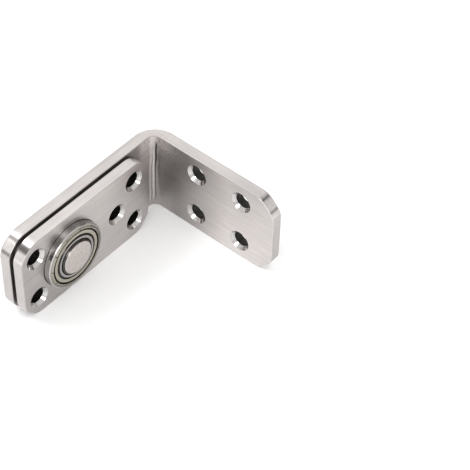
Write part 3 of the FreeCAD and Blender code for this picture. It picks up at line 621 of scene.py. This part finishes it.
# Painted shade on the leaf's back, in the gap behind it.
leaf_shade = mixed(leaf_tree, leaf_back, leaf_shade, GAP_SHADE)
brushed_plate(leaf_tree, leaf_shader, y, z, x, maths(leaf_tree, "MINIMUM", corner_holes, middle_hole),
              LEAF_CONE_START, LEAF_BORE_SHADE, leaf_shade, leaf_back)
dress(["door_leaf"], leaf_steel)

# Floor: a pale paper sheet under the standing hinge. It shows white to the camera and in the
# metal, and keeps the hinge's shadow.

FLOOR_TONE = 0.92
FLOOR_LIFT = 0.08
FLOOR_HALF = 3.0
MATT_ROUGHNESS = 0.9


def flat_card(name, centre, across, upwards):
    """Flat four-sided card with its half sides as two directions."""
    mesh = bpy.data.meshes.new(name)
    corners = [centre + i * across + j * upwards for i, j in ((-1, -1), (1, -1), (1, 1), (-1, 1))]
    mesh.from_pydata(corners, [], [(0, 1, 2, 3)])
    card = bpy.data.objects.new(name, mesh)
    bpy.context.scene.collection.objects.link(card)
    return card


def matt(name, tone):
    """Matt grey material, with its nodes and its shader."""
    material = bpy.data.materials.new(name)
    material.use_nodes = True
    shader = material.node_tree.nodes["Principled BSDF"]
    shader.inputs["Base Color"].default_value = (tone, tone, tone, 1.0)
    shader.inputs["Roughness"].default_value = MATT_ROUGHNESS
    shader.inputs["Specular IOR Level"].default_value = 0.0
    return material, material.node_tree, shader


floor = flat_card("floor", Vector((0.0, 0.0, cad_box[0].z)), Vector((FLOOR_HALF, 0.0, 0.0)),
                  Vector((0.0, FLOOR_HALF, 0.0)))
floor_paper, floor_tree, paper_shader = matt("floor_paper", FLOOR_TONE)
ray = node(floor_tree, "ShaderNodeLightPath").outputs
mirrored = maths(floor_tree, "MAXIMUM", ray["Is Glossy Ray"], ray["Is Transmission Ray"])
seen = maths(floor_tree, "MAXIMUM", ray["Is Camera Ray"], mirrored)
paper_shader.inputs["Emission Color"].default_value = (1.0, 1.0, 1.0, 1.0)
floor_tree.links.new(maths(floor_tree, "MULTIPLY", seen, FLOOR_LIFT),
                     paper_shader.inputs["Emission Strength"])
floor.data.materials.append(floor_paper)

# Camera: over the hinge's front right with a long lens, which keeps the hinge in the upper
# left of the picture. Its place comes from the aim point, two angles, a roll and a distance.

PHOTO_SIDE = 470
AIM_PIXEL = (128.31, 216.47)
AIM = Vector((0.016799, 0.039502, -0.004002))
AZIMUTH = math.radians(38.241)
ELEVATION = math.radians(47.207)
ROLL = math.radians(2.167)
DISTANCE = 0.83248
FOCAL_PIXELS = 1637.99
SENSOR_MILLIMETRES = 36.0

back = Vector((math.sin(AZIMUTH) * math.cos(ELEVATION), -math.cos(AZIMUTH) * math.cos(ELEVATION),
               math.sin(ELEVATION)))
level_right = Vector((math.cos(AZIMUTH), math.sin(AZIMUTH), 0.0))
level_up = back.cross(level_right)
right = math.cos(ROLL) * level_right + math.sin(ROLL) * level_up
up = math.cos(ROLL) * level_up - math.sin(ROLL) * level_right
aim_across = (AIM_PIXEL[0] - PHOTO_SIDE / 2) * DISTANCE / FOCAL_PIXELS
aim_down = (AIM_PIXEL[1] - PHOTO_SIDE / 2) * DISTANCE / FOCAL_PIXELS
eye = AIM - aim_across * right + aim_down * up + DISTANCE * back

camera_data = bpy.data.cameras.new("camera")
camera_data.sensor_width = SENSOR_MILLIMETRES
camera_data.lens = FOCAL_PIXELS / PHOTO_SIDE * SENSOR_MILLIMETRES
camera = bpy.data.objects.new("camera", camera_data)
bpy.context.scene.collection.objects.link(camera)
camera.matrix_world = Matrix.Translation(eye) @ Matrix((right, up, back)).transposed().to_4x4()
bpy.context.scene.camera = camera
bpy.context.scene.view_settings.view_transform = "Standard"

# Studio light: a white tent that lights the hinge evenly. Three dark cards and four soft lamps
# round it give the bright metal its dark lines and its glints. None of them shows to the camera.

CLOTH_TONE = 0.03
TENT_LIGHT = 1.0
DARK_CARD_AWAY = 1.1
DARK_CARD_HALF = 0.45

tent = bpy.data.worlds.new("tent")
bpy.context.scene.world = tent
tent.use_nodes = True
tent.node_tree.nodes["Background"].inputs["Color"].default_value = (1.0, 1.0, 1.0, 1.0)
tent.node_tree.nodes["Background"].inputs["Strength"].default_value = TENT_LIGHT

dark_cloth = matt("dark_cloth", CLOTH_TONE)[0]

# Each card: its middle, and its half sides as two directions.
for name, centre, half_across, half_up in (
        ("dark_card", DARK_CARD_AWAY * back, DARK_CARD_HALF * level_right, DARK_CARD_HALF * level_up),
        ("ceiling_card", Vector((0.50, 0.55, 0.81)), Vector((0.0, 0.27, 0.0)), Vector((0.27, 0.0, 0.0))),
        ("side_card", Vector((0.42, 0.88, 0.20)), Vector((0.252, -0.1204, 0.0)), Vector((0.0, 0.0, 0.22)))):
    card = flat_card(name, centre, half_across, half_up)
    card.data.materials.append(dark_cloth)
    card.visible_camera = False

# Each lamp: its place, its side in metres and its power. It points at the hinge.
for name, spot, side, watts in (("right_lamp", (0.84, -0.42, 0.34), 0.25, 1.8),
                                ("left_lamp", (-0.60, -0.23, 0.77), 0.5, 4.8),
                                ("front_lamp", (0.24, -0.76, 0.42), 0.28, 2.0),
                                ("top_lamp", (0.40, 0.0, 0.86), 0.18, 1.2)):
    lamp_data = bpy.data.lights.new(name, "AREA")
    lamp_data.size = side
    lamp_data.energy = watts
    lamp = bpy.data.objects.new(name, lamp_data)
    bpy.context.scene.collection.objects.link(lamp)
    lamp.location = spot
    lamp.rotation_euler = lamp.location.to_track_quat("Z", "Y").to_euler()
    lamp.visible_camera = False
